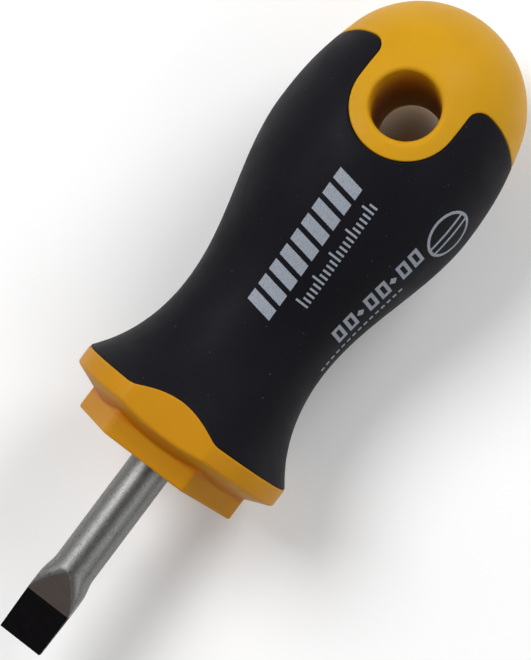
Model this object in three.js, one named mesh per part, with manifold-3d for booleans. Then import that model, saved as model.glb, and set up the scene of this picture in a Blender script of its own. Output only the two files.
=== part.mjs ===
// A stubby screwdriver for slotted screws, in millimetres.
//
// +X runs along the tool, from the end face of the blade (the origin) to the butt of the handle.
// The two flats of the flange, two flats of the hexagon and the hanging hole face +Z and -Z.
//
// It is three separate pieces: a steel blade, a hard handle core moulded over the blade's
// wings, and a soft grip moulded over the core. The grip leaves the core bare at the hexagon,
// the flange, the hanging hole and the butt.

import * as THREE from "three";
import * as BufferGeometryUtils from "three/addons/utils/BufferGeometryUtils.js";
import Module from "manifold-3d";

// ---- Driving dimensions ----

// Blade, the part that shows
const BLADE_REACH = 24.65;
const SHANK_DIAMETER = 5;
const TIP_WIDTH = 5.5;
const TIP_THICKNESS = 1;
const FLARE_DIAMETER = 5.66;
const FLARE_LENGTH = 7.6;
const FLARE_SHOULDER = 2.6;
const GROUND_LENGTH = 5.3;
const GROUND_THICKNESS = 1.7;
const SWELL_LENGTH = 4.2;
const SWELL_ROUNDING = 1.3;

// Blade, the part inside the handle
const ANCHOR_LENGTH = 36.35;
const ANCHOR_CHAMFER = 0.6;
const WING_SPAN = 8;
const WING_THICKNESS = 1.8;
const WING_LENGTH = 6;
const WING_SETBACK = 4;

// Handle outline
const HANDLE_LENGTH = 61;
const HEX_ACROSS_FLATS = 18.4;
const HEX_HEIGHT = 2.35;
const FLANGE_DIAMETER = 26.9;
const FLANGE_HEIGHT = 2.2;
const FLANGE_CONE_HEIGHT = 1.75;
const FLANGE_ACROSS_FLATS = 24.6;
const WAIST_DIAMETER = 18.5;
const WAIST_DISTANCE = 18.75;
const BELLY_DIAMETER = 26.26;
const BELLY_DISTANCE = 40.95;
const BUTT_SHOULDER_DIAMETER = 22.86;
const BUTT_SHOULDER_HEIGHT = 8.35;
const BUTT_SHOULDER_ANGLE = THREE.MathUtils.degToRad(16.3);

// How far each end of an outline curve runs straight on before it bends away
const RIM_RUN = 0.3;
const NECK_RUN = 8.2;
const SWELL_FRONT_RUN = 7.9;
const SWELL_BACK_RUN = 7.5;
const BELLY_RUN = 5.1;
const SHOULDER_RUN = 4;
const BUTT_RUN = 6.3;

// Soft grip and the windows in it
const GRIP_WALL = 1.8;
const HOLE_DIAMETER = 7.7;
const HOLE_TO_BUTT = 13.85;
const RING_WIDTH = 2.25;
const FINGER_END_TO_BUTT = 9.15;
const FINGER_CORNER_RADIUS = 1.6;
const FINGER_BACK_RADIUS = 6.3;

// Clearance between neighbouring pieces
const FIT_GAP = 0.3;

// Fineness of the round surfaces
const TURNED_SEGMENTS = 40;
const CURVE_STEPS = 8;

// ---- Places along the tool that follow from the dimensions ----

const hexFrontX = BLADE_REACH;
const coneX = hexFrontX + HEX_HEIGHT;
const flangeX = coneX + FLANGE_CONE_HEIGHT;
const gripX = flangeX + FLANGE_HEIGHT;
const waistX = hexFrontX + WAIST_DISTANCE;
const bellyX = hexFrontX + BELLY_DISTANCE;
const buttX = hexFrontX + HANDLE_LENGTH;
const shoulderX = buttX - BUTT_SHOULDER_HEIGHT;
const holeX = buttX - HOLE_TO_BUTT;
const anchorEndX = hexFrontX + ANCHOR_LENGTH;

// Longer than any cut that goes right through the handle
const CUT_DEPTH = 2 * FLANGE_DIAMETER;

// ---- Solid modelling helpers ----

const wasm = await Module();
wasm.setup();

function toSolid(geometry) {
  const bare = geometry.index ? geometry.toNonIndexed() : geometry.clone();
  bare.deleteAttribute("normal");
  bare.deleteAttribute("uv");
  const merged = BufferGeometryUtils.mergeVertices(bare, 1e-5);
  const corners = merged.index.array;
  const triangles = [];
  for (let i = 0; i < corners.length; i += 3) {
    const [a, b, c] = corners.slice(i, i + 3);
    if (a !== b && b !== c && c !== a) triangles.push(a, b, c);
  }
  return new wasm.Manifold(new wasm.Mesh({
    numProp: 3,
    vertProperties: new Float32Array(merged.attributes.position.array),
    triVerts: new Uint32Array(triangles),
  }));
}

function toMesh(name, solid, look) {
  const { vertProperties, triVerts } = solid.getMesh();
  const geometry = new THREE.BufferGeometry();
  geometry.setAttribute("position", new THREE.BufferAttribute(vertProperties, 3));
  geometry.setIndex(new THREE.BufferAttribute(triVerts, 1));
  geometry.computeVertexNormals();
  const mesh = new THREE.Mesh(geometry, new THREE.MeshStandardMaterial(look));
  mesh.name = name;
  return mesh;
}

// A closed skin over sections, each an x and a ring of as many (y, z) points as the others have.
function lofted(sections) {
  const rings = sections.map(({ x, ring }) => ring.map((point) => [x, point.x, point.y]));
  const count = rings[0].length;
  const corners = [];
  for (let row = 0; row < rings.length - 1; row += 1) {
    for (let i = 0; i < count; i += 1) {
      const next = (i + 1) % count;
      const [a, b] = [rings[row][i], rings[row][next]];
      const [c, d] = [rings[row + 1][i], rings[row + 1][next]];
      corners.push(a, b, c, b, d, c);
    }
  }
  const first = rings[0];
  const last = rings[rings.length - 1];
  for (let i = 1; i < count - 1; i += 1) {
    corners.push(first[0], first[i + 1], first[i], last[0], last[i], last[i + 1]);
  }
  const geometry = new THREE.BufferGeometry();
  geometry.setAttribute("position", new THREE.Float32BufferAttribute(corners.flat(), 3));
  return toSolid(geometry);
}

// Turns an outline of (radius, distance along the tool) points about the tool's axis. It starts
// half a segment round, so that the tool lies on a flat strip of its belly and not on an edge.
function turned(outline) {
  const geometry = new THREE.LatheGeometry(outline, TURNED_SEGMENTS, Math.PI / TURNED_SEGMENTS);
  return toSolid(geometry.rotateZ(-Math.PI / 2));
}

// A prism of an outline in (x, y) that runs between two heights.
function prismUp(shape, zLow, zHigh) {
  const settings = { depth: zHigh - zLow, bevelEnabled: false, curveSegments: CURVE_STEPS };
  return toSolid(new THREE.ExtrudeGeometry(shape, settings).translate(0, 0, zLow));
}

function box(xLow, xHigh, yWidth, zLow, zHigh) {
  const geometry = new THREE.BoxGeometry(xHigh - xLow, yWidth, zHigh - zLow);
  return toSolid(geometry.translate((xLow + xHigh) / 2, 0, (zLow + zHigh) / 2));
}

// ---- Blade ----

// Half the blade's width at a distance from its end face, seen square to the ground faces.
function bladeHalfWidth(x) {
  const narrowing = THREE.MathUtils.smoothstep(x, FLARE_LENGTH, FLARE_LENGTH + FLARE_SHOULDER);
  const flared = THREE.MathUtils.lerp(FLARE_DIAMETER, SHANK_DIAMETER, narrowing) / 2;
  const ground = THREE.MathUtils.mapLinear(x, 0, GROUND_LENGTH, TIP_WIDTH, FLARE_DIAMETER) / 2;
  return Math.min(flared, ground);
}

// A rectangle at the end, which thickens and rounds off into the round shank.
function bladeSection(x) {
  const ground = Math.min(x / GROUND_LENGTH, 1);
  const groundHalf = THREE.MathUtils.lerp(TIP_THICKNESS, GROUND_THICKNESS, ground) / 2;
  const swell = THREE.MathUtils.clamp((x - GROUND_LENGTH) / SWELL_LENGTH, 0, 1);
  const halfHeight = THREE.MathUtils.lerp(groundHalf, SHANK_DIAMETER / 2, swell);
  const corner = (SHANK_DIAMETER / 2) * swell ** SWELL_ROUNDING;
  const centreY = bladeHalfWidth(x) - corner;
  const centreZ = Math.max(halfHeight - corner, 0);
  const turnSteps = TURNED_SEGMENTS / 4;
  const ring = [];
  for (let quarter = 0; quarter < 4; quarter += 1) {
    const ySign = quarter === 0 || quarter === 3 ? 1 : -1;
    const zSign = quarter < 2 ? 1 : -1;
    for (let step = 0; step <= turnSteps; step += 1) {
      const angle = (quarter + step / turnSteps) * (Math.PI / 2);
      const y = ySign * centreY + corner * Math.cos(angle);
      const z = zSign * centreZ + corner * Math.sin(angle);
      ring.push(new THREE.Vector2(y, z));
    }
  }
  return ring;
}

function scaledRing(ring, scale) {
  return ring.map((point) => point.clone().multiplyScalar(scale));
}

// The pressed wings that lock the bar in the handle; grow makes room for them in the core.
function wings(grow) {
  const wingsEndX = anchorEndX - WING_SETBACK;
  return box(
    wingsEndX - WING_LENGTH - grow,
    wingsEndX + grow,
    WING_SPAN + 2 * grow,
    -WING_THICKNESS / 2 - grow,
    WING_THICKNESS / 2 + grow,
  );
}

function blade() {
  const places = [0, GROUND_LENGTH];
  for (let step = 1; step <= CURVE_STEPS; step += 1) {
    places.push(GROUND_LENGTH + (SWELL_LENGTH * step) / CURVE_STEPS);
  }
  places.push(FLARE_LENGTH + FLARE_SHOULDER, anchorEndX - ANCHOR_CHAMFER);
  const sections = places.map((x) => ({ x, ring: bladeSection(x) }));
  const endScale = 1 - ANCHOR_CHAMFER / (SHANK_DIAMETER / 2);
  sections.push({ x: anchorEndX, ring: scaledRing(bladeSection(anchorEndX), endScale) });
  return lofted(sections).add(wings(0));
}

// The room in the core that the blade's bar and wings are moulded into.
function bladePocket() {
  const radius = SHANK_DIAMETER / 2 + FIT_GAP;
  const bar = turned([
    new THREE.Vector2(0, 0),
    new THREE.Vector2(radius, 0),
    new THREE.Vector2(radius, anchorEndX + FIT_GAP),
    new THREE.Vector2(0, anchorEndX + FIT_GAP),
  ]);
  return bar.add(wings(FIT_GAP));
}

// ---- Handle outline ----

function curveBetween(start, startPull, endPull, end) {
  const curve = new THREE.CubicBezierCurve(start, startPull, endPull, end);
  return curve.getPoints(CURVE_STEPS);
}

// Points (radius, distance along the tool) from the flange's back edge to the end of the butt.
function handleCurve() {
  const rim = new THREE.Vector2(FLANGE_DIAMETER / 2, gripX);
  const waist = new THREE.Vector2(WAIST_DIAMETER / 2, waistX);
  const belly = new THREE.Vector2(BELLY_DIAMETER / 2, bellyX);
  const shoulder = new THREE.Vector2(BUTT_SHOULDER_DIAMETER / 2, shoulderX);
  const butt = new THREE.Vector2(0, buttX);
  const along = new THREE.Vector2(0, 1);
  const inward = new THREE.Vector2(-1, 0);
  const slope = new THREE.Vector2(-Math.sin(BUTT_SHOULDER_ANGLE), Math.cos(BUTT_SHOULDER_ANGLE));
  const pull = (point, direction, run) => point.clone().addScaledVector(direction, run);

  const neck = curveBetween(rim, pull(rim, along, RIM_RUN), pull(waist, along, -NECK_RUN), waist);
  const swell = curveBetween(
    waist,
    pull(waist, along, SWELL_FRONT_RUN),
    pull(belly, along, -SWELL_BACK_RUN),
    belly,
  );
  const back = curveBetween(
    belly,
    pull(belly, along, BELLY_RUN),
    pull(shoulder, slope, -SHOULDER_RUN),
    shoulder,
  );
  const dome = curveBetween(
    shoulder,
    pull(shoulder, slope, SHOULDER_RUN),
    pull(butt, inward, -BUTT_RUN),
    butt,
  );
  return [...neck, ...swell.slice(1), ...back.slice(1), ...dome.slice(1)];
}

const handlePoints = handleCurve();

// The handle's radius at a distance along the tool, on the same straight steps as the solid.
function handleRadius(x) {
  const after = Math.max(handlePoints.findIndex((point) => point.y >= x), 1);
  const low = handlePoints[after - 1];
  const high = handlePoints[after];
  return THREE.MathUtils.mapLinear(x, low.y, high.y, low.x, high.x);
}

// The handle's outline moved in by a wall, between two distances along the tool.
function innerOutline(wall, xStart, xEnd) {
  const inside = handlePoints.filter((point) => point.y > xStart && point.y < xEnd);
  return [
    new THREE.Vector2(0, xStart),
    new THREE.Vector2(handleRadius(xStart) - wall, xStart),
    ...inside.map((point) => new THREE.Vector2(point.x - wall, point.y)),
    new THREE.Vector2(handleRadius(xEnd) - wall, xEnd),
    new THREE.Vector2(0, xEnd),
  ];
}

// The whole handle behind the hexagon, with the cone under the flange and the two flats.
function handleBody() {
  const body = turned([
    new THREE.Vector2(0, coneX),
    new THREE.Vector2(HEX_ACROSS_FLATS / 2, coneX),
    new THREE.Vector2(FLANGE_DIAMETER / 2, flangeX),
    ...handlePoints,
  ]);
  const flat = FLANGE_ACROSS_FLATS / 2;
  const above = box(hexFrontX, waistX, CUT_DEPTH, flat, CUT_DEPTH);
  const below = box(hexFrontX, waistX, CUT_DEPTH, -CUT_DEPTH, -flat);
  return body.subtract(above).subtract(below);
}

// ---- Where the core shows through the grip ----

// The end of each flange flat, which tapers off where the round neck falls below the flat.
// grow moves its edge out into the grip.
function flatTongue(grow) {
  const flat = FLANGE_ACROSS_FLATS / 2;
  const belowFlat = handlePoints.findIndex((point) => point.x < flat);
  const low = handlePoints[belowFlat - 1];
  const high = handlePoints[belowFlat];
  const endX = THREE.MathUtils.mapLinear(flat, low.x, high.x, low.y, high.y);
  const edge = [];
  for (let step = 0; step <= CURVE_STEPS; step += 1) {
    const x = THREE.MathUtils.lerp(gripX, endX, Math.sin((step / CURVE_STEPS) * Math.PI / 2));
    const halfWidth = Math.sqrt(Math.max(handleRadius(x) ** 2 - flat ** 2, 0));
    edge.push(new THREE.Vector2(x + grow, halfWidth + grow));
  }
  const root = new THREE.Vector2(flangeX, edge[0].y);
  const oneSide = [root, ...edge];
  const otherSide = oneSide.map((point) => new THREE.Vector2(point.x, -point.y)).reverse();
  return prismUp(new THREE.Shape([...oneSide, ...otherSide]), -CUT_DEPTH, CUT_DEPTH);
}

// The ring round the hanging hole and the butt, which meet between the grip's two fingers.
// grow moves its edge out into the grip.
function buttWindow(grow) {
  const ring = HOLE_DIAMETER / 2 + RING_WIDTH;
  const cornerX = buttX - FINGER_END_TO_BUTT - FINGER_CORNER_RADIUS;
  const cornerY = ring + FINGER_CORNER_RADIUS;
  const backX = buttX - FINGER_END_TO_BUTT - FINGER_BACK_RADIUS;
  const corner = FINGER_CORNER_RADIUS - grow;
  const back = FINGER_BACK_RADIUS - grow;
  const quarter = Math.PI / 2;
  const shape = new THREE.Shape();
  shape.moveTo(buttX + CUT_DEPTH, -CUT_DEPTH);
  shape.lineTo(buttX + CUT_DEPTH, CUT_DEPTH);
  shape.lineTo(backX, CUT_DEPTH);
  shape.absarc(backX, cornerY, back, quarter, 0, true);
  shape.absarc(cornerX, cornerY, corner, 0, -quarter, true);
  shape.absarc(holeX, 0, ring + grow, quarter, -quarter, false);
  shape.absarc(cornerX, -cornerY, corner, quarter, 0, true);
  shape.absarc(backX, -cornerY, back, 0, -quarter, true);
  shape.lineTo(backX, -CUT_DEPTH);
  shape.closePath();
  return prismUp(shape, -CUT_DEPTH, CUT_DEPTH);
}

function hangingHole() {
  const hole = new THREE.CylinderGeometry(
    HOLE_DIAMETER / 2,
    HOLE_DIAMETER / 2,
    CUT_DEPTH,
    TURNED_SEGMENTS / 2,
  );
  return toSolid(hole.rotateX(Math.PI / 2).translate(holeX, 0, 0));
}

// ---- Hard core ----

function hexagon() {
  const cornerRadius = HEX_ACROSS_FLATS / Math.sqrt(3);
  const length = flangeX - hexFrontX;
  const prism = new THREE.CylinderGeometry(cornerRadius, cornerRadius, length, 6);
  prism.rotateY(Math.PI / 2).rotateZ(-Math.PI / 2);
  return toSolid(prism.translate(hexFrontX + length / 2, 0, 0));
}

function handleCore() {
  const body = handleBody();
  const flange = body.intersect(box(hexFrontX, gripX, CUT_DEPTH, -CUT_DEPTH, CUT_DEPTH));
  const underGrip = turned(innerOutline(GRIP_WALL + FIT_GAP, gripX - FIT_GAP, shoulderX));
  return hexagon()
    .add(flange)
    .add(underGrip)
    .add(body.intersect(flatTongue(0)))
    .add(body.intersect(buttWindow(0)))
    .subtract(hangingHole())
    .subtract(bladePocket());
}

// ---- Soft grip ----

function softGrip() {
  const startX = gripX + FIT_GAP;
  const outside = handleBody().intersect(box(startX, buttX, CUT_DEPTH, -CUT_DEPTH, CUT_DEPTH));
  return outside
    .subtract(turned(innerOutline(GRIP_WALL, gripX, shoulderX)))
    .subtract(flatTongue(FIT_GAP))
    .subtract(buttWindow(FIT_GAP));
}

// ---- Assembly ----

const screwdriver = new THREE.Group();
screwdriver.add(toMesh("blade", blade(), { color: 0x8f8d8b, roughness: 0.35, metalness: 1 }));
screwdriver.add(toMesh("handle_core", handleCore(), { color: 0xd9a31e, roughness: 0.4, metalness: 0 }));
screwdriver.add(toMesh("soft_grip", softGrip(), { color: 0x202024, roughness: 0.75, metalness: 0 }));

export default screwdriver;
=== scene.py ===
"""The looks of a stubby slotted screwdriver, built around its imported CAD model.

The tool lies along +X, from the blade's end face at the origin to the butt of the handle, with the
hanging hole and the flange's flats facing +Z and -Z. Lengths in this script are millimetres, and
MM turns them into Blender's metres. The handle and the blade are the same in all four quarters round
the axis, so their surfaces are made for one quarter and mirrored.
"""

import math

import bmesh
import bpy
import numpy as np
from mathutils import Matrix, Vector
from mathutils.geometry import delaunay_2d_cdt


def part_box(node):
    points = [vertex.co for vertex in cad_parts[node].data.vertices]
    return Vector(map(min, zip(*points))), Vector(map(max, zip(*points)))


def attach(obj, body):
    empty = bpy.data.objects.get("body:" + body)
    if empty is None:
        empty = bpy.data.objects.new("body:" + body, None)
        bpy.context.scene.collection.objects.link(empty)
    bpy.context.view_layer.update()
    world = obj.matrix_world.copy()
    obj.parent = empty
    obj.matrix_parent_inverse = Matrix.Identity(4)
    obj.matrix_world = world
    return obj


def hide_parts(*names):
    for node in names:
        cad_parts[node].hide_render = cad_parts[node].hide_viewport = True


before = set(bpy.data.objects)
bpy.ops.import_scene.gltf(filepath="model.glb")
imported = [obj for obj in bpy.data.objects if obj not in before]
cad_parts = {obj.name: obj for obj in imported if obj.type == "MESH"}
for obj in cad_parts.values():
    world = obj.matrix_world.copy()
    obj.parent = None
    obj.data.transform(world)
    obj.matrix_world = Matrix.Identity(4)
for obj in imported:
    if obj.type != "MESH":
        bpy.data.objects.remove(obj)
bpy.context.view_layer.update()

MM = 0.001

# ---- Sizes, in millimetres ----

core_low, core_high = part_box("handle_core")
blade_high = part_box("blade")[1]

HEX_FRONT_X = core_low[0] / MM
BUTT_X = core_high[0] / MM
ANCHOR_END_X = blade_high[0] / MM

# Hexagon, cone and flange
HEX_HALF_FLATS, HEX_HEIGHT = 9.2, 2.35
CONE_HEIGHT = 1.75
FLANGE_RADIUS, FLANGE_HEIGHT = 13.45, 2.2
FLAT_HALF = 12.3
CONE_X = HEX_FRONT_X + HEX_HEIGHT
FLANGE_X = CONE_X + CONE_HEIGHT
RIM_MIDDLE_X = FLANGE_X + FLANGE_HEIGHT / 2
GRIP_X = FLANGE_X + FLANGE_HEIGHT

# Handle outline
WAIST_X, WAIST_RADIUS = HEX_FRONT_X + 18.75, 9.25
BELLY_X, BELLY_RADIUS = HEX_FRONT_X + 40.95, 13.13
SHOULDER_X, SHOULDER_RADIUS = BUTT_X - 8.35, 11.43
SHOULDER_ANGLE = math.radians(16.3)

# How far each end of an outline curve runs straight on before it bends away
RIM_RUN, NECK_RUN = 0.3, 8.2
SWELL_FRONT_RUN, SWELL_BACK_RUN = 7.9, 7.5
BELLY_RUN, SHOULDER_RUN, BUTT_RUN = 5.1, 4, 6.3

# Hanging hole, the ring round it and the grip's fingers
HOLE_X, HOLE_RADIUS, HOLE_ROUND = BUTT_X - 13.85, 3.85, 0.75
RING_RADIUS = HOLE_RADIUS + 2.25
FINGER_END_X = BUTT_X - 9.15
FINGER_CORNER, FINGER_BACK = 1.6, 6.3

# Grip, and the seam between it and the core
GRIP_WALL = 1.8
CORE_DEPTH = GRIP_WALL + 0.05
SEAM_GAP, SEAM_ROUND = 0.08, 0.16
SEAM_SUPPORT = 0.12

# Blade
SHANK_RADIUS = 2.5
FLARE_RADIUS, FLARE_LENGTH, FLARE_SHOULDER = 2.83, 7.6, 2.6
TIP_HALF_WIDTH, TIP_HALF_THICKNESS = 2.75, 0.5
GROUND_LENGTH, GROUND_HALF_THICKNESS = 5.3, 0.85
SWELL_LENGTH, SWELL_ROUNDING = 4.2, 1.3
WING_LENGTH, WING_SETBACK, WING_LEAD = 6, 4, 1
WING_HALF_SPAN, WING_HALF_THICKNESS = 4.0, 0.9
WING_END_X = ANCHOR_END_X - WING_SETBACK
WING_START_X = WING_END_X - WING_LENGTH
ANCHOR_CHAMFER = 0.6
EDGE_WEAR = 0.05

# The blade's room in the core, and the rounded edges of the core
BORE_CLEARANCE, WING_CLEARANCE, END_CLEARANCE = 0.04, 0.2, 0.3
POCKET_ROUND, BORE_ROUND, MOUTH_ROUND = 0.2, 0.1, 0.12
HEX_ROUND, CONE_ROUND, RIM_ROUND = 0.3, 0.25, 0.3

# Fineness: the spacing of points on the seams, the grip, the flange, the butt and hidden skin, the
# points round the butt's end, and how often the seam at the flange is softened
SEAM_STEP = 0.25
SKIN_STEP = 0.55
FLANGE_STEP = 0.4
BUTT_STEP = 0.45
HIDDEN_STEP = 0.9
POLE_POINTS = 24
SEAM_SOFTENING = 6

QUARTER = math.pi / 2
TINY = 1e-6


# ---- The handle's side view ----

def bezier(start, start_pull, end_pull, end, steps=160):
    """A cubic curve from start to end, with the points that pull its two ends."""
    t = np.linspace(0, 1, steps + 1)[:, None]
    a, b, c, d = (np.array(point, float) for point in (start, start_pull, end_pull, end))
    return (1 - t) ** 3 * a + 3 * (1 - t) ** 2 * t * b + 3 * (1 - t) * t**2 * c + t**3 * d


class SideView:
    """An outline of (x, radius) points, looked up by its arc length, its run."""

    def __init__(self, points):
        self.points = points
        self.run = np.concatenate([[0], np.cumsum(np.hypot(*np.diff(points, axis=0).T))])
        slope = np.gradient(points, self.run, axis=0)
        self.slope = slope / np.hypot(*slope.T)[:, None]

    def at(self, run):
        """x, radius and the two parts of the unit tangent."""
        columns = [*self.points.T, *self.slope.T]
        return [np.interp(run, self.run, column) for column in columns]

    def radius(self, run):
        return np.interp(run, self.run, self.points[:, 1])

    def run_at(self, x):
        return np.interp(x, self.points[:, 0], self.run)


def handle_side_view(rim_points=12):
    """The handle's outline from the middle of the flange's rim to the end of the butt."""
    rim = [(x, FLANGE_RADIUS) for x in np.linspace(RIM_MIDDLE_X, GRIP_X, rim_points)]
    neck = bezier(
        (GRIP_X, FLANGE_RADIUS),
        (GRIP_X + RIM_RUN, FLANGE_RADIUS),
        (WAIST_X - NECK_RUN, WAIST_RADIUS),
        (WAIST_X, WAIST_RADIUS),
    )
    swell = bezier(
        (WAIST_X, WAIST_RADIUS),
        (WAIST_X + SWELL_FRONT_RUN, WAIST_RADIUS),
        (BELLY_X - SWELL_BACK_RUN, BELLY_RADIUS),
        (BELLY_X, BELLY_RADIUS),
    )
    belly = (BELLY_X, BELLY_RADIUS)
    shoulder = np.array([SHOULDER_X, SHOULDER_RADIUS])
    fall = np.array([math.cos(SHOULDER_ANGLE), -math.sin(SHOULDER_ANGLE)]) * SHOULDER_RUN
    back = bezier(belly, (BELLY_X + BELLY_RUN, BELLY_RADIUS), shoulder - fall, shoulder)
    dome = bezier(shoulder, shoulder + fall, (BUTT_X, BUTT_RUN), (BUTT_X, 0))
    return SideView(np.vstack([rim, neck[1:], swell[1:], back[1:], dome[1:]]))


side = handle_side_view()


# ---- Lines on the handle: rows of (run, angle from +Z towards +Y, depth below the skin) ----

def line(run, angle, depth=0.0):
    run, angle, depth = np.broadcast_arrays(run, angle, depth)
    return np.column_stack([run, angle, depth]).astype(float)


def lengths_along(row):
    """Distance over the skin from the row's first point to each of its points."""
    steps = np.diff(row[:, :2], axis=0)
    radius = side.radius((row[1:, 0] + row[:-1, 0]) / 2)
    return np.concatenate([[0], np.cumsum(np.hypot(steps[:, 0], radius * steps[:, 1]))])


def resample(row, spacing):
    length = lengths_along(row)
    stops = np.linspace(0, length[-1], max(2, math.ceil(length[-1] / spacing) + 1))
    return np.column_stack([np.interp(stops, length, column) for column in row.T])


def soften(row, passes):
    """The row with its sharp turns rounded. Its ends stay."""
    row = row.copy()
    for _ in range(passes):
        row[1:-1] = row[:-2] / 4 + row[1:-1] / 2 + row[2:] / 4
    return row


def offset(row, distance):
    """The row moved over the skin to its left. Its ends keep their angle, on the mirror planes."""
    radius = np.maximum(side.radius(row[:, 0]), TINY)
    along = np.gradient(row[:, 0])
    across = np.gradient(row[:, 1]) * radius
    size = np.hypot(along, across)
    moved = row.copy()
    moved[:, 0] -= distance * across / size
    moved[:, 1] += distance * along / size / radius
    moved[[0, -1], 1] = row[[0, -1], 1]
    return moved


def flange_seam(samples=400):
    """Where the grip starts: along the rim's back edge, then round the flat's tongue."""
    edge_angle = math.acos(FLAT_HALF / FLANGE_RADIUS)
    rim = line(side.run_at(GRIP_X), np.linspace(QUARTER, edge_angle, samples))
    neck = (side.points[:, 0] >= GRIP_X) & (side.points[:, 0] <= WAIST_X)
    angles = edge_angle * (1 - np.linspace(0, 1, samples)[1:] ** 2)
    runs = np.interp(-FLAT_HALF / np.cos(angles), -side.points[neck, 1], side.run[neck])
    return soften(resample(np.vstack([rim, line(runs, angles)]), SEAM_STEP), SEAM_SOFTENING)


def butt_seam(samples=600, back_samples=4000):
    """Where the grip ends: round the ring, along it, round the finger's end and to the side."""
    corner_x = FINGER_END_X - FINGER_CORNER
    corner_y = RING_RADIUS + FINGER_CORNER
    turn = np.linspace(0, QUARTER, samples)
    ring = (HOLE_X - RING_RADIUS * np.cos(turn), RING_RADIUS * np.sin(turn))
    bend = (corner_x + FINGER_CORNER * np.sin(turn), corner_y - FINGER_CORNER * np.cos(turn))
    sweep = np.linspace(0, QUARTER, back_samples)[1:]
    back = (
        FINGER_END_X - FINGER_BACK + FINGER_BACK * np.cos(sweep),
        corner_y + FINGER_BACK * np.sin(sweep),
    )
    x, y = np.hstack([ring, bend, back])
    run = side.run_at(x)
    reach = y / side.radius(run)
    end = int(np.argmax(reach >= 1))
    row = line(run[: end + 1], np.arcsin(np.minimum(reach[: end + 1], 1)))
    return resample(row, SEAM_STEP)


def edge_rows(seam, way, count=4):
    """Rows that round a moulding's edge over into the seam, the edge first, and one behind them.

    way is 1 on the grip's side of the seam and -1 on the core's.
    """
    rows = []
    for turn in np.linspace(QUARTER, 0, count):
        row = offset(seam, way * (SEAM_GAP / 2 + SEAM_ROUND * (1 - math.sin(turn))))
        row[:, 2] = SEAM_ROUND * (1 - math.cos(turn))
        rows.append(row)
    rows.append(offset(seam, way * (SEAM_GAP / 2 + SEAM_ROUND + SEAM_SUPPORT)))
    return rows


# ---- Filling a stretch of the handle with triangles ----

# Millimetres over the skin for each radian round it, near enough for even triangles
PLANE_SCALE = 12.0
# The least room between a filling point and an outline, as a share of the step
CLEAR_SHARE = 0.6


def to_plane(rows):
    return np.column_stack([rows[:, 0], rows[:, 1] * PLANE_SCALE])


def is_inside(points, loop):
    """Whether each point of the plane lies in the loop, by the edges that a line to it crosses."""
    x, y = points[:, :1], points[:, 1:2]
    start = loop
    end = np.roll(loop, -1, axis=0)
    rise = end[:, 1] - start[:, 1]
    crosses = (start[:, 1] > y) != (end[:, 1] > y)
    at = start[:, 0] + (y - start[:, 1]) * (end[:, 0] - start[:, 0]) / np.where(rise == 0, 1, rise)
    return np.count_nonzero(crosses & (x < at), axis=1) % 2 == 1


def fill(loop, hole=None, rows=(), step=SKIN_STEP):
    """Points (run, angle, depth) and triangles that fill a closed loop, with rows as edges."""
    lines = [(loop, True)] + [(row, False) for row in rows]
    if hole is not None:
        lines.append((hole, False))
    known = np.vstack([points for points, _ in lines])
    edges = []
    start = 0
    for points, closed in lines:
        edges += [(start + i, start + i + 1) for i in range(len(points) - 1)]
        if closed:
            edges.append((start + len(points) - 1, start))
        start += len(points)

    runs = np.arange(loop[:, 0].min() + step / 2, loop[:, 0].max(), step)
    angles = np.arange(step / 2, QUARTER * PLANE_SCALE, step) / PLANE_SCALE
    spots = line(*(axis.ravel() for axis in np.meshgrid(runs, angles)))
    outline = to_plane(loop)
    spots = spots[is_inside(to_plane(spots), outline)]
    gaps = np.linalg.norm(to_plane(spots)[:, None] - to_plane(known)[None], axis=2).min(axis=1)
    spots = spots[gaps > CLEAR_SHARE * step]
    everything = np.vstack([known, spots])

    flat = [Vector(point) for point in to_plane(everything)]
    points, _, faces, sources, _, _ = delaunay_2d_cdt(flat, edges, [], 0, TINY)
    made = line([p.x for p in points], [p.y / PLANE_SCALE for p in points])
    for index, origin in enumerate(sources):
        if origin:
            made[index] = everything[max(origin, key=lambda i: everything[i, 2])]
    faces = np.array([list(face) for face in faces])
    middles = to_plane(made)[faces].mean(axis=1)
    kept = is_inside(middles, outline)
    if hole is not None:
        kept &= ~is_inside(middles, to_plane(hole))
    return made, faces[kept]


# ---- From rows to points in space ----

def round_points(x, radius, angle):
    return np.column_stack([x, radius * np.sin(angle), radius * np.cos(angle)])


def skin_points(rows):
    """Points below the skin by their depth, square to it."""
    x, radius, slope_x, slope_r = side.at(rows[:, 0])
    depth = rows[:, 2]
    return round_points(x + slope_r * depth, radius - slope_x * depth, rows[:, 1])


def wall_points(rows, wall):
    """Points straight in from the skin by one wall."""
    x, radius, _, _ = side.at(rows[:, 0])
    return round_points(x, radius - wall, rows[:, 1])


def soft_min(a, b, power=350):
    """The smaller of two lengths, with the crossing very slightly rounded."""
    low = np.minimum(a, b)
    high = np.maximum(a, b)
    return low * (1 + (low / high) ** power) ** (-1 / power)


def flat_limit(angle):
    """Distance from the axis to the flange's flat."""
    return FLAT_HALF / np.maximum(np.cos(angle), TINY)


def flange_points(rows):
    """Points on the rim and the flats, below them by their depth."""
    x, radius, _, _ = side.at(rows[:, 0])
    limited = soft_min(radius, flat_limit(rows[:, 1]))
    return round_points(x, limited - rows[:, 2], rows[:, 1])


# ---- Making pieces ----

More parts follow.
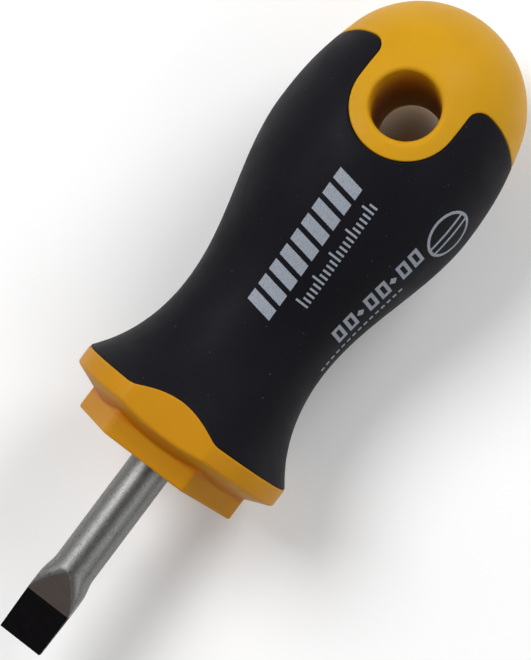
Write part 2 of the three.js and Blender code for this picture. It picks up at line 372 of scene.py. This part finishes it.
class Quarter:
    """Gathers the surfaces of one quarter of a piece and mirrors them into the whole piece."""

    def __init__(self):
        self.points = []
        self.faces = []
        self.kinds = []

    def add(self, points, faces, kind=0):
        start = sum(len(block) for block in self.points)
        self.points.append(np.asarray(points, float))
        self.faces += [[start + int(i) for i in face] for face in faces]
        self.kinds += [kind] * len(faces)

    def strip(self, rows, kind=0):
        """Quads between each row of points in space and the next."""
        count = len(rows[0])
        faces = [
            [i * count + j, i * count + j + 1, (i + 1) * count + j + 1, (i + 1) * count + j]
            for i in range(len(rows) - 1)
            for j in range(count - 1)
        ]
        self.add(np.vstack(rows), faces, kind)

    def piece(self, name, materials, sharp_degrees=35):
        """The four quarters as one object, with hard shading at edges sharper than the angle."""
        quarter = np.vstack(self.points)
        points = []
        faces = []
        for y_sign, z_sign in ((1, 1), (-1, 1), (-1, -1), (1, -1)):
            start = len(points) * len(quarter)
            points.append(quarter * (1, y_sign, z_sign))
            faces += [[start + i for i in face] for face in self.faces]
        return new_piece(name, np.vstack(points), faces, materials, self.kinds * 4, sharp_degrees)


def new_piece(name, points, faces, materials, kinds, sharp_degrees, merge=0.002, sliver=0.001):
    """A smooth mesh object; kinds are the faces' places in materials."""
    mesh = bpy.data.meshes.new(name)
    mesh.from_pydata((points * MM).tolist(), [], faces)
    for material in materials:
        mesh.materials.append(material)
    mesh.polygons.foreach_set("material_index", kinds)
    work = bmesh.new()
    work.from_mesh(mesh)
    bmesh.ops.remove_doubles(work, verts=work.verts, dist=merge * MM)
    bmesh.ops.dissolve_degenerate(work, edges=work.edges, dist=sliver * MM)
    bmesh.ops.recalc_face_normals(work, faces=work.faces)
    for face in work.faces:
        face.smooth = True
    work.to_mesh(mesh)
    work.free()
    mesh.set_sharp_from_angle(angle=math.radians(sharp_degrees))
    piece = bpy.data.objects.new(name, mesh)
    bpy.context.scene.collection.objects.link(piece)
    return piece


# ---- Soft grip ----

def side_line(start_run, end_run, angle):
    """Points between two runs on a mirror plane, ends left out."""
    count = max(2, math.ceil(abs(end_run - start_run) / SKIN_STEP))
    return line(np.linspace(start_run, end_run, count + 1)[1:-1], angle)


def grip_loop(front, back):
    """The closed outline of one quarter of the skin between two seams."""
    return np.vstack([
        front,
        side_line(front[-1, 0], back[0, 0], 0),
        back,
        side_line(back[-1, 0], front[0, 0], QUARTER),
    ])


def make_grip(material):
    front_rows = edge_rows(flange_seam(), 1)
    back_rows = edge_rows(butt_seam(), 1)
    rows, faces = fill(grip_loop(front_rows[0], back_rows[0]), rows=front_rows[1:] + back_rows[1:])
    quarter = Quarter()
    quarter.add(skin_points(rows), faces)
    quarter.add(wall_points(rows, GRIP_WALL), faces)
    for edge in (front_rows[0], back_rows[0]):
        quarter.strip([skin_points(edge), wall_points(edge, GRIP_WALL)])
    return quarter.piece("grip_moulding", [material])


# ---- Hard core ----

def hex_radius(angle, power=60):
    """Distance from the axis to the hexagon's side, with its corners a little rounded."""
    facing = [np.cos(angle - math.radians(60 * side_number)) for side_number in range(6)]
    shares = sum((np.maximum(share, 0) / HEX_HALF_FLATS) ** power for share in facing)
    return shares ** (-1 / power)


def flange_angles(step=2.5, least_step=0.3):
    """Angles round one quarter, closer together at the hexagon's corners and the flats' edges."""
    close = np.array([0, 0.35, 0.8, 1.4, 2.2])
    hexagon_corners = [30, 90]
    edges = [*hexagon_corners, math.degrees(math.acos(FLAT_HALF / FLANGE_RADIUS))]
    near = [edge + way * close for edge in edges for way in (-1, 1)]
    angles = np.unique(np.round(np.concatenate([np.arange(0, 91, step), *near]), 3))
    angles = angles[(angles >= 0) & (angles <= 90)]
    spaced = [angles[0]]
    for angle in angles[1:]:
        if angle - spaced[-1] > least_step or angle in edges:
            spaced.append(angle)
    return np.radians(spaced)


def rounded(corners, lead=1.5, steps=5):
    """A polyline of (x, radius, rounding) with each corner bent over its rounding.

    A point on each side, lead times as far out, holds the straight stretches straight.
    """
    points = [corners[0][:2]]
    for before, corner, after in zip(corners, corners[1:], corners[2:]):
        here = np.array(corner[:2])
        back = np.array(before[:2]) - here
        ahead = np.array(after[:2]) - here
        back /= np.hypot(*back)
        ahead /= np.hypot(*ahead)
        bend = corner[2]
        points.append(here + back * bend * lead)
        for t in np.linspace(0, 1, steps):
            points.append(here + back * bend * (1 - t) ** 2 + ahead * bend * t**2)
        points.append(here + ahead * bend * lead)
    points.append(corners[-1][:2])
    return np.array(points)


def front_rows_of_core(angles):
    """Rows from the bottom of the blade's pocket, over the hexagon and cone, to the rim."""
    cone_slope = (FLANGE_RADIUS - HEX_HALF_FLATS) / (FLANGE_X - CONE_X)
    bore = SHANK_RADIUS + BORE_CLEARANCE
    pocket = WING_HALF_SPAN + WING_CLEARANCE
    pocket_start_x = WING_START_X - END_CLEARANCE
    pocket_end_x = ANCHOR_END_X + END_CLEARANCE
    columns = []
    for angle in angles:
        hexagon = float(hex_radius(angle))
        rim = float(soft_min(FLANGE_RADIUS, flat_limit(angle)))
        foot_x = CONE_X + (hexagon - HEX_HALF_FLATS) / cone_slope
        rim_x = CONE_X + (rim - HEX_HALF_FLATS) / cone_slope
        columns.append(rounded([
            (pocket_end_x, 0, 0),
            (pocket_end_x, pocket, POCKET_ROUND),
            (pocket_start_x, pocket, POCKET_ROUND),
            (pocket_start_x, bore, BORE_ROUND),
            (HEX_FRONT_X, bore, MOUTH_ROUND),
            (HEX_FRONT_X, hexagon, HEX_ROUND),
            (foot_x, hexagon, CONE_ROUND),
            (rim_x, rim, RIM_ROUND),
            (RIM_MIDDLE_X, rim, 0),
        ]))
    rows = np.array(columns).transpose(1, 0, 2)
    return [round_points(row[:, 0], row[:, 1], angles) for row in rows]


def hole_rows(points=61, rim_rows=7, wall_rows=8):
    """Half rings down the hanging hole, from the skin over the rounded rim to the mid-plane."""
    turn = np.linspace(math.pi, 0, points)
    rows = []
    for bend in np.linspace(0, QUARTER, rim_rows):
        ring = HOLE_RADIUS + HOLE_ROUND * (1 - math.sin(bend))
        x = HOLE_X + ring * np.cos(turn)
        y = ring * np.sin(turn)
        height = np.sqrt(side.radius(side.run_at(x)) ** 2 - y**2)
        rows.append(np.column_stack([x, y, height - HOLE_ROUND * (1 - math.cos(bend))]))
    rim = rows[-1]
    for share in np.linspace(1, 0, wall_rows)[1:]:
        rows.append(rim * (1, 1, share))
    return rows


def make_core(material):
    front_rows = edge_rows(flange_seam(), -1)
    back_rows = edge_rows(butt_seam(), -1)
    angles = flange_angles()
    quarter = Quarter()

    # The blade's pocket, the hexagon and the cone, up to the middle of the rim
    quarter.strip(front_rows_of_core(angles))

    # The rest of the flange, up to the grip
    flange_loop = np.vstack([
        line(0, angles[::-1]),
        side_line(0, front_rows[0][-1, 0], 0),
        front_rows[0][::-1],
        side_line(front_rows[0][0, 0], 0, QUARTER),
    ])
    rows, faces = fill(flange_loop, rows=front_rows[1:], step=FLANGE_STEP)
    quarter.add(flange_points(rows), faces)
    quarter.strip([flange_points(front_rows[0]), wall_points(front_rows[0], CORE_DEPTH)])

    # The hidden skin under the grip
    rows, faces = fill(grip_loop(front_rows[0], back_rows[0]), step=HIDDEN_STEP)
    quarter.add(wall_points(rows, CORE_DEPTH), faces)
    quarter.strip([skin_points(back_rows[0]), wall_points(back_rows[0], CORE_DEPTH)])

    # The ring, the butt and the hanging hole
    hole = hole_rows()
    rim_x, rim_y, _ = hole[0].T
    rim_run = side.run_at(rim_x)
    rim = line(rim_run, np.arcsin(rim_y / side.radius(rim_run)))
    rim[[0, -1], 1] = 0
    end_run = side.run[-1]
    butt_loop = np.vstack([
        back_rows[0][::-1],
        side_line(back_rows[0][0, 0], rim[0, 0], 0),
        rim,
        side_line(rim[-1, 0], end_run, 0),
        line(end_run, np.linspace(0, QUARTER, POLE_POINTS)),
        side_line(end_run, back_rows[0][-1, 0], QUARTER),
    ])
    rows, faces = fill(butt_loop, rows=back_rows[1:], step=BUTT_STEP)
    quarter.add(skin_points(rows), faces)
    quarter.strip(hole)
    return quarter.piece("core_moulding", [material])


# ---- Blade ----

# The blade's materials by their place in its list, its points round a quarter section and its rows
# of points along the swell behind the ground tip, the flare and the shank
STEEL, GROUND, BLACK = 0, 1, 2
FACE_POINTS, CORNER_POINTS, EDGE_POINTS = 6, 12, 4
SWELL_ROWS, FLARE_ROWS, SHANK_ROWS = 25, 5, 24
SHARP_DEGREES = 20


def blade_half_width(x):
    """Half the width seen square to the ground faces."""
    share = min(max((x - FLARE_LENGTH) / FLARE_SHOULDER, 0), 1)
    flared = FLARE_RADIUS + (SHANK_RADIUS - FLARE_RADIUS) * (3 * share**2 - 2 * share**3)
    return min(flared, TIP_HALF_WIDTH + (FLARE_RADIUS - TIP_HALF_WIDTH) * x / GROUND_LENGTH)


def tip_section(x):
    """Quarter section (y, z): along the ground face, round the corner and down the side."""
    ground = min(x / GROUND_LENGTH, 1)
    thin = TIP_HALF_THICKNESS + (GROUND_HALF_THICKNESS - TIP_HALF_THICKNESS) * ground
    swell = min(max((x - GROUND_LENGTH) / SWELL_LENGTH, 0), 1)
    height = thin + (SHANK_RADIUS - thin) * swell
    corner = SHANK_RADIUS * swell**SWELL_ROUNDING
    face = blade_half_width(x) - corner
    edge = max(height - corner, 0)
    return [
        *((face * share, edge + corner) for share in np.linspace(0, 1, FACE_POINTS)),
        *(
            (face + corner * math.sin(turn), edge + corner * math.cos(turn))
            for turn in np.linspace(0, QUARTER, CORNER_POINTS + 2)[1:-1]
        ),
        *((face + corner, edge * share) for share in np.linspace(1, 0, EDGE_POINTS)),
    ]


def bar_section(wing=False):
    """Quarter section (y, z) of the anchored bar, with its pressed wing or without."""
    last = math.acos(WING_HALF_THICKNESS / SHANK_RADIUS)
    count = FACE_POINTS + CORNER_POINTS + EDGE_POINTS - 2
    turns = [*np.linspace(0, last, count), (last + QUARTER) / 2, QUARTER]
    section = [(SHANK_RADIUS * math.sin(turn), SHANK_RADIUS * math.cos(turn)) for turn in turns]
    if wing:
        section[-2:] = [(WING_HALF_SPAN, WING_HALF_THICKNESS), (WING_HALF_SPAN, 0)]
    return section


def section_row(x, section, scale=1.0):
    return np.array([(x, y * scale, z * scale) for y, z in section])


def blade_rows():
    """Rows of points round one quarter of the blade, from its end face to its buried end."""
    swell_end = GROUND_LENGTH + SWELL_LENGTH
    flare_end = FLARE_LENGTH + FLARE_SHOULDER
    stations = [0, EDGE_WEAR, GROUND_LENGTH / 2, GROUND_LENGTH - EDGE_WEAR]
    stations += list(np.linspace(GROUND_LENGTH, swell_end, SWELL_ROWS))
    stations += list(np.linspace(swell_end, flare_end, FLARE_ROWS)[1:])
    stations += list(np.linspace(flare_end, WING_START_X - WING_LEAD, SHANK_ROWS)[1:])
    end_scale = 1 - ANCHOR_CHAMFER / SHANK_RADIUS
    return [
        section_row(0, tip_section(0), 0),
        *(section_row(x, tip_section(x)) for x in stations),
        section_row(WING_START_X, bar_section()),
        section_row(WING_START_X, bar_section(wing=True)),
        section_row(WING_END_X, bar_section(wing=True)),
        section_row(WING_END_X, bar_section()),
        section_row(ANCHOR_END_X - ANCHOR_CHAMFER, bar_section()),
        section_row(ANCHOR_END_X, bar_section(), end_scale),
        section_row(ANCHOR_END_X, bar_section(), 0),
    ]


def make_blade(steel, ground, black):
    quarter = Quarter()
    rows = blade_rows()
    for first, second in zip(rows, rows[1:]):
        x = second[0, 0]
        if x <= GROUND_LENGTH:
            quarter.strip([first, second], BLACK)
        elif x < GROUND_LENGTH + SWELL_LENGTH:
            quarter.strip([first[:FACE_POINTS], second[:FACE_POINTS]], GROUND)
            quarter.strip([first[FACE_POINTS - 1 :], second[FACE_POINTS - 1 :]], STEEL)
        else:
            quarter.strip([first, second], STEEL)
    piece = quarter.piece("blade_bar", [steel, ground, black], SHARP_DEGREES)
    bevel = piece.modifiers.new("worn_edges", "BEVEL")
    bevel.width = EDGE_WEAR * MM
    bevel.segments = 2
    bevel.limit_method = "ANGLE"
    bevel.angle_limit = math.radians(SHARP_DEGREES)
    bevel.harden_normals = True
    return piece


# ---- Materials ----

class Finish:
    """A procedural material. Patterns are placed by the object's own coordinates."""

    def __init__(self, name):
        self.material = bpy.data.materials.new(name)
        self.material.use_nodes = True
        self.nodes = self.material.node_tree.nodes
        self.link = self.material.node_tree.links.new
        self.shader = self.nodes["Principled BSDF"]
        self.place = self.nodes.new("ShaderNodeTexCoord").outputs["Object"]

    def set(self, **values):
        for socket, value in values.items():
            self.shader.inputs[socket.replace("_", " ")].default_value = value

    def colour(self, source):
        self.link(source, self.shader.inputs["Base Color"])

    def roughness(self, pattern, smoothest, roughest):
        """Roughness that follows a pattern between two values."""
        source = self.ramp(pattern, (0.3, smoothest), (0.7, roughest))
        self.link(source, self.shader.inputs["Roughness"])

    def noise(self, size, detail, stretch=(1, 1, 1)):
        """Noise with features of about the given size in millimetres, and detail finer layers."""
        mapping = self.nodes.new("ShaderNodeMapping")
        mapping.inputs["Scale"].default_value = stretch
        self.link(self.place, mapping.inputs["Vector"])
        texture = self.nodes.new("ShaderNodeTexNoise")
        texture.inputs["Scale"].default_value = 1 / (size * MM)
        texture.inputs["Detail"].default_value = detail
        self.link(mapping.outputs["Vector"], texture.inputs["Vector"])
        return texture.outputs["Fac"]

    def along(self, start, end):
        """0 to 1 along the tool between two distances from the blade's end, in millimetres."""
        split = self.nodes.new("ShaderNodeSeparateXYZ")
        self.link(self.place, split.inputs["Vector"])
        stretch = self.nodes.new("ShaderNodeMapRange")
        stretch.inputs["From Min"].default_value = start * MM
        stretch.inputs["From Max"].default_value = end * MM
        self.link(split.outputs["X"], stretch.inputs["Value"])
        return stretch.outputs["Result"]

    def ramp(self, value, *stops):
        """Colours or greys by value; each stop is (position, colour)."""
        ramp = self.nodes.new("ShaderNodeValToRGB")
        elements = ramp.color_ramp.elements
        while len(elements) < len(stops):
            elements.new(1.0)
        for element, (position, colour) in zip(elements, stops):
            grey = (colour,) * 3 if isinstance(colour, (int, float)) else colour
            element.position = position
            element.color = (*grey, 1)
        self.link(value, ramp.inputs["Fac"])
        return ramp.outputs["Color"]

    def mix(self, amount, first, second):
        """first where amount is 0 and second where it is 1."""
        mix = self.nodes.new("ShaderNodeMix")
        mix.data_type = "RGBA"
        self.link(amount, mix.inputs["Factor"])
        for socket, colour in (("A", first), ("B", second)):
            into = next(i for i in mix.inputs if i.name == socket and i.type == "RGBA")
            if isinstance(colour, tuple):
                into.default_value = (*colour, 1)
            else:
                self.link(colour, into)
        return next(o for o in mix.outputs if o.type == "RGBA")

    def bump(self, *heights):
        """Adds relief; each height is (pattern, depth in millimetres)."""
        normal = None
        for pattern, depth in heights:
            bump = self.nodes.new("ShaderNodeBump")
            bump.inputs["Distance"].default_value = depth * MM
            self.link(pattern, bump.inputs["Height"])
            if normal is not None:
                self.link(normal, bump.inputs["Normal"])
            normal = bump.outputs["Normal"]
        self.link(normal, self.shader.inputs["Normal"])


def rubber_finish():
    """Charcoal rubber with a fine grain and specks of dust."""
    finish = Finish("grip_rubber")
    darkest, lightest = (0.0052, 0.0052, 0.0077), (0.0068, 0.0068, 0.0098)
    dust = (0.05, 0.053, 0.057)
    shade = finish.ramp(finish.noise(9, 4), (0.35, darkest), (0.7, lightest))
    specks = finish.ramp(finish.noise(0.35, 1), (0.77, 0.0), (0.81, 1.0))
    finish.colour(finish.mix(specks, shade, dust))
    finish.roughness(finish.noise(3, 4), 0.5, 0.6)
    finish.set(Specular_IOR_Level=0.07)
    finish.bump((finish.noise(0.22, 2), 0.012), (finish.noise(2.5, 2), 0.02))
    return finish.material


def plastic_finish():
    """Yellow plastic with painted shade: darker and redder towards the flange, and deep orange in
    the groove in front of it.
    """
    finish = Finish("core_plastic")
    butt_dark, butt_light = (0.515, 0.262, 0.006), (0.55, 0.282, 0.007)
    # The flange's darker, redder yellows are painted shade: they stand in for less light reaching
    # the flange than the butt.
    flange_painted_shade_dark, flange_painted_shade_light = (0.46, 0.2, 0.003), (0.5, 0.22, 0.004)
    # Painted shade: a deep orange for the recessed groove between the hexagon and the flange.
    painted_groove_shade = (0.45, 0.125, 0.001)
    mottling = finish.noise(7, 3)
    butt = finish.ramp(mottling, (0.35, butt_dark), (0.7, butt_light))
    flange = finish.ramp(mottling, (0.35, flange_painted_shade_dark), (0.7, flange_painted_shade_light))
    # Painted falloff of light: the colour goes from the flange's painted shade at the cone to the
    # butt's yellow at the hanging hole.
    yellow_with_painted_falloff = finish.mix(finish.along(CONE_X, HOLE_X), flange, butt)
    # The mask over the cone paints that shade into the groove in front of the flange.
    over_cone = finish.along(CONE_X - 0.5, FLANGE_X)
    groove_shade_mask = finish.ramp(over_cone, (0.1, 0.0), (0.3, 0.75), (0.62, 0.6), (0.8, 0.0))
    finish.colour(finish.mix(groove_shade_mask, yellow_with_painted_falloff, painted_groove_shade))
    finish.roughness(finish.noise(1.6, 4), 0.42, 0.52)
    finish.set(Specular_IOR_Level=0.11, Subsurface_Weight=0.2, Subsurface_Scale=1.0 * MM)
    finish.shader.inputs["Subsurface Radius"].default_value = (1.0, 0.5, 0.1)
    finish.bump((finish.noise(0.5, 3), 0.006), (finish.noise(5, 2), 0.03))
    return finish.material


def steel_finish():
    """Bare steel bar, with fine dark pits."""
    finish = Finish("blade_steel")
    darkest, lightest = (0.165, 0.164, 0.161), (0.25, 0.249, 0.245)
    pit = (0.09, 0.085, 0.08)
    grain = finish.noise(0.16, 2, (0.7, 1, 1))
    steel = finish.ramp(grain, (0.3, darkest), (0.7, lightest))
    pits = finish.ramp(finish.noise(0.3, 2), (0.66, 0.0), (0.72, 0.8))
    finish.colour(finish.mix(pits, steel, pit))
    finish.roughness(finish.noise(0.5, 3), 0.38, 0.46)
    finish.set(Metallic=1.0)
    finish.bump((grain, 0.0012))
    return finish.material


def ground_finish():
    """Ground steel, with the grinder's marks across the blade, and a darker, browner grey than the
    bar that is a painted reflection of dark surroundings.
    """
    finish = Finish("ground_steel")
    # These greys are painted reflection: darker and browner than the bar, standing in for the dark
    # surroundings that the tipped ground face reflects.
    darkest, lightest = (0.145, 0.119, 0.109), (0.175, 0.144, 0.132)
    marks = finish.noise(0.16, 4, (1, 0.08, 1))
    finish.colour(finish.ramp(marks, (0.3, darkest), (0.7, lightest)))
    finish.roughness(marks, 0.42, 0.5)
    finish.set(Metallic=1.0)
    finish.bump((marks, 0.0012))
    return finish.material


def black_finish():
    """The dull black coating on the blade's tip."""
    finish = Finish("tip_black")
    darkest, lightest = (0.0018, 0.0014, 0.0018), (0.0035, 0.0028, 0.0035)
    finish.colour(finish.ramp(finish.noise(0.8, 4), (0.3, darkest), (0.75, lightest)))
    finish.roughness(finish.noise(0.5, 3), 0.45, 0.6)
    finish.set(Specular_IOR_Level=0.05)
    finish.bump((finish.noise(0.2, 2), 0.004))
    return finish.material


def ink_finish():
    """Pale blue-grey ink, thinner in places."""
    finish = Finish("print_ink")
    worn, full = (0.2, 0.215, 0.245), (0.275, 0.305, 0.355)
    finish.colour(finish.ramp(finish.noise(0.14, 3), (0.34, worn), (0.55, full)))
    finish.roughness(finish.noise(0.4, 3), 0.5, 0.65)
    finish.set(Specular_IOR_Level=0.2)
    finish.bump((finish.noise(0.25, 3), 0.006))
    return finish.material


def floor_finish():
    finish = Finish("pale_floor")
    finish.colour(finish.ramp(finish.noise(40, 2), (0.3, 0.92), (0.7, 0.94)))
    finish.set(Roughness=0.8, Specular_IOR_Level=0.2)
    return finish.material


# ---- Printed marks: thin films of ink on the grip ----

INK_RISE = 0.03
INK_THICKNESS = 0.05
CELL_SIZE = 0.45
# Points of a mark nearer than this become one: corners that shapes share, and slivers left by cuts
SHARED_POINT, SLIVER = 0.001, 0.03
# Each row of bars, ticks and dashes: its start and end along the tool, and its pitch
BAR_ROW, TICK_ROW, DASH_ROW = (-9.1, 8, 1.95), (-6.4, 6.2, 0.6), (-6.3, 6.3, 0.85)
# The tool's distances and the angles round it at which the marks are centred
LABEL_X, SLOT_X = WAIST_X + 10.6, WAIST_X + 20.6
LOWER_FACING, SLOT_FACING = -40, -61.5


def slanted_bar(left, low, width, height, slant=0.0):
    """A bar whose top leans towards the butt."""
    lean = slant * height
    top = low + height
    return [(left, low), (left + width, low), (left + width + lean, top), (left + lean, top)]


def band(outer, inner):
    """Faces between two closed outlines that have as many points as each other."""
    following = range(-1, len(outer) - 1)
    return [[outer[i], outer[i + 1], inner[i + 1], inner[i]] for i in following]


def circle(radius, steps=64):
    turn = np.arange(steps) * 2 * math.pi / steps
    return [(radius * math.cos(angle), radius * math.sin(angle)) for angle in turn]


def ring(radius, thickness):
    return band(circle(radius), circle(radius - thickness))


def open_box(left, low, width, height, stroke, slant):
    """The outline of a slanted box."""
    inner_low = low + stroke
    inner_left = left + stroke + slant * stroke
    inner = slanted_bar(inner_left, inner_low, width - 2 * stroke, height - 2 * stroke, slant)
    return band(slanted_bar(left, low, width, height, slant), inner)


def diamond(middle, half):
    return [(middle - half, 0), (middle, -half), (middle + half, 0), (middle, half)]


def cut_into_cells(work):
    """Cuts flat faces along a square grid, so that they can bend."""
    spread = np.array([vert.co[:2] for vert in work.verts])
    for axis, normal in enumerate((Vector((1, 0, 0)), Vector((0, 1, 0)))):
        for cut in np.arange(spread[:, axis].min(), spread[:, axis].max(), CELL_SIZE)[1:]:
            everything = work.verts[:] + work.edges[:] + work.faces[:]
            bmesh.ops.bisect_plane(work, geom=everything, plane_co=normal * cut, plane_no=normal)
    bmesh.ops.remove_doubles(work, verts=work.verts, dist=SLIVER)


def make_mark(name, shapes, material, x, facing, shift=0.0):
    """Prints flat shapes on the grip at x, from the side that faces an angle in degrees.

    shift moves them across the tool. The film is a little above the skin and reaches just below it.
    """
    work = bmesh.new()
    for shape in shapes:
        work.faces.new([work.verts.new((a, b, 0)) for a, b in shape])
    bmesh.ops.remove_doubles(work, verts=work.verts, dist=SHARED_POINT)
    cut_into_cells(work)
    flat = np.array([vert.co[:2] for vert in work.verts])
    run = side.run_at(x + flat[:, 0])
    angle = math.radians(facing) + np.arcsin((shift + flat[:, 1]) / side.radius(run))
    for vert, point in zip(work.verts, skin_points(line(run, angle, -INK_RISE))):
        vert.co = point * MM
    mesh = bpy.data.meshes.new(name)
    work.to_mesh(mesh)
    work.free()
    mesh.materials.append(material)
    piece = bpy.data.objects.new(name, mesh)
    bpy.context.scene.collection.objects.link(piece)
    film = piece.modifiers.new("film", "SOLIDIFY")
    film.thickness = INK_THICKNESS * MM
    film.offset = -1
    return piece


def bars():
    return [
        slanted_bar(left, low=-1.8, width=1.35, height=3.3, slant=0.18)
        for left in np.arange(*BAR_ROW)
    ]


def ticks():
    """A row of ticks, with every fifth one longer."""
    return [
        slanted_bar(left, low=-0.7, width=0.24, height=1.5 if index % 5 == 0 else 0.95)
        for index, left in enumerate(np.arange(*TICK_ROW))
    ]


def dashes():
    return [slanted_bar(left, low=-0.3, width=0.5, height=0.3) for left in np.arange(*DASH_ROW)]


def slot_lines():
    return [slanted_bar(-2.6, low=middle - 0.15, width=5.2, height=0.3) for middle in (-0.55, 0.55)]


def boxes_and_diamonds():
    """Three pairs of open boxes with a diamond between each pair and the next."""
    faces = []
    for middle in (-4.8, 0, 4.8):
        for left in (middle - 1.6, middle + 0.2):
            faces += open_box(left, low=-1.1, width=1.35, height=2.2, stroke=0.42, slant=0.12)
    return faces + [diamond(middle, half=0.5) for middle in (-2.4, 2.4)]


def make_marks(ink):
    """Plain generic marks: bars, ticks, boxes, dashes and a slot in a ring."""
    slot_ring = ring(radius=2.9, thickness=0.35)
    return [
        make_mark("mark_bars", bars(), ink, LABEL_X, facing=0),
        make_mark("mark_ticks", ticks(), ink, LABEL_X + 0.8, facing=0, shift=-3.55),
        make_mark("mark_boxes", boxes_and_diamonds(), ink, LABEL_X, LOWER_FACING, shift=-3.25),
        make_mark("mark_rule", dashes(), ink, LABEL_X - 3.7, LOWER_FACING, shift=-5.3),
        make_mark("mark_slot_ring", slot_ring, ink, SLOT_X, SLOT_FACING),
        make_mark("mark_slot_lines", slot_lines(), ink, SLOT_X, SLOT_FACING),
    ]


# ---- Camera, floor and light ----

# The camera's lean from square to the hole's side, the tool's turn in the picture, the spot that
# the camera looks at and its distance from there
CAMERA_TILT, CAMERA_TURN = math.radians(6.3), math.radians(53.1)
CAMERA_AIM, CAMERA_DISTANCE = Vector((43.9, -1.083, -0.12)), 254
CAMERA_LENS, SENSOR_WIDTH = 124.7, 36
NEAREST_SEEN = 10

FLOOR_HALF = 1500
LIGHT_TARGET = Vector((45, 0, 0))

# The dome's brightness by height, from 0 at the horizon to 1 overhead, and the wall's
DOME_STOPS = ((0.0, 0.12), (0.3, 0.16), (0.55, 0.5), (0.8, 0.42), (0.93, 0.04))
WALL_BRIGHTNESS = 0.8


def make_camera():
    """Nearly square to the hole's side, with the blade's tip at the lower left."""
    along = Vector((1, 0, 0))
    down = Vector((0, -math.cos(CAMERA_TILT), -math.sin(CAMERA_TILT)))
    towards = Vector((0, -math.sin(CAMERA_TILT), math.cos(CAMERA_TILT)))
    right = along * math.cos(CAMERA_TURN) + down * math.sin(CAMERA_TURN)
    up = along * math.sin(CAMERA_TURN) - down * math.cos(CAMERA_TURN)
    place = Matrix.Translation((CAMERA_AIM + towards * CAMERA_DISTANCE) * MM)
    facing = Matrix((right, up, towards)).transposed().to_4x4()
    camera = bpy.data.objects.new("camera", bpy.data.cameras.new("camera"))
    camera.matrix_world = place @ facing
    camera.data.lens = CAMERA_LENS
    camera.data.sensor_width = SENSOR_WIDTH
    camera.data.clip_start = NEAREST_SEEN * MM
    bpy.context.scene.collection.objects.link(camera)
    bpy.context.scene.camera = camera


def make_floor(material):
    """A wide plane that the tool's belly touches."""
    sides = ((-1, -1), (1, -1), (1, 1), (-1, 1))
    corners = [Vector((x * FLOOR_HALF, y * FLOOR_HALF, -BELLY_RADIUS)) * MM for x, y in sides]
    mesh = bpy.data.meshes.new("floor")
    mesh.from_pydata(corners, [], [(0, 1, 2, 3)])
    mesh.materials.append(material)
    floor = bpy.data.objects.new("floor", mesh)
    bpy.context.scene.collection.objects.link(floor)


def make_light(name, place, size, power):
    """A soft round light, placed from the middle of the tool and turned towards it."""
    light = bpy.data.lights.new(name, "AREA")
    light.shape = "DISK"
    light.size = size * MM
    light.energy = power
    lamp = bpy.data.objects.new(name, light)
    lamp.location = (LIGHT_TARGET + Vector(place)) * MM
    lamp.rotation_euler = Vector(place).to_track_quat("Z", "Y").to_euler()
    bpy.context.scene.collection.objects.link(lamp)


def make_world():
    """A grey dome that lights the tool. The camera sees a pale wall in its place."""
    world = bpy.data.worlds.new("surroundings")
    bpy.context.scene.world = world
    world.use_nodes = True
    tree = world.node_tree
    direction = tree.nodes.new("ShaderNodeTexCoord").outputs["Generated"]
    split = tree.nodes.new("ShaderNodeSeparateXYZ")
    dome = tree.nodes.new("ShaderNodeValToRGB")
    elements = dome.color_ramp.elements
    while len(elements) < len(DOME_STOPS):
        elements.new(1.0)
    for element, (height, brightness) in zip(elements, DOME_STOPS):
        element.position = height
        element.color = (*(brightness,) * 3, 1)
    tree.links.new(direction, split.inputs["Vector"])
    tree.links.new(split.outputs["Z"], dome.inputs["Fac"])
    light = tree.nodes["Background"]
    tree.links.new(dome.outputs["Color"], light.inputs["Color"])
    wall = tree.nodes.new("ShaderNodeBackground")
    wall.inputs["Color"].default_value = (*(WALL_BRIGHTNESS,) * 3, 1)
    either = tree.nodes.new("ShaderNodeMixShader")
    seen = tree.nodes.new("ShaderNodeLightPath").outputs["Is Camera Ray"]
    tree.links.new(seen, either.inputs["Fac"])
    tree.links.new(light.outputs["Background"], either.inputs[1])
    tree.links.new(wall.outputs["Background"], either.inputs[2])
    tree.links.new(either.outputs["Shader"], tree.nodes["World Output"].inputs["Surface"])


def make_lights():
    make_light("key", (40, 240, 345), size=220, power=1.15)
    make_light("fill", (400, -110, 330), size=260, power=1.1)
    make_light("side", (20, -330, 230), size=320, power=0.34)
    make_light("low", (-60, 380, 170), size=260, power=0.1)


# ---- Assembly ----

bpy.context.scene.view_settings.view_transform = "Standard"
make_camera()
make_world()
make_lights()
make_floor(floor_finish())

ink = ink_finish()
core = make_core(plastic_finish())
grip = make_grip(rubber_finish())
blade = make_blade(steel_finish(), ground_finish(), black_finish())
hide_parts("handle_core")
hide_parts("soft_grip")
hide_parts("blade")
for piece in (core, grip, blade):
    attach(piece, "root")
for mark in make_marks(ink):
    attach(mark, "root")
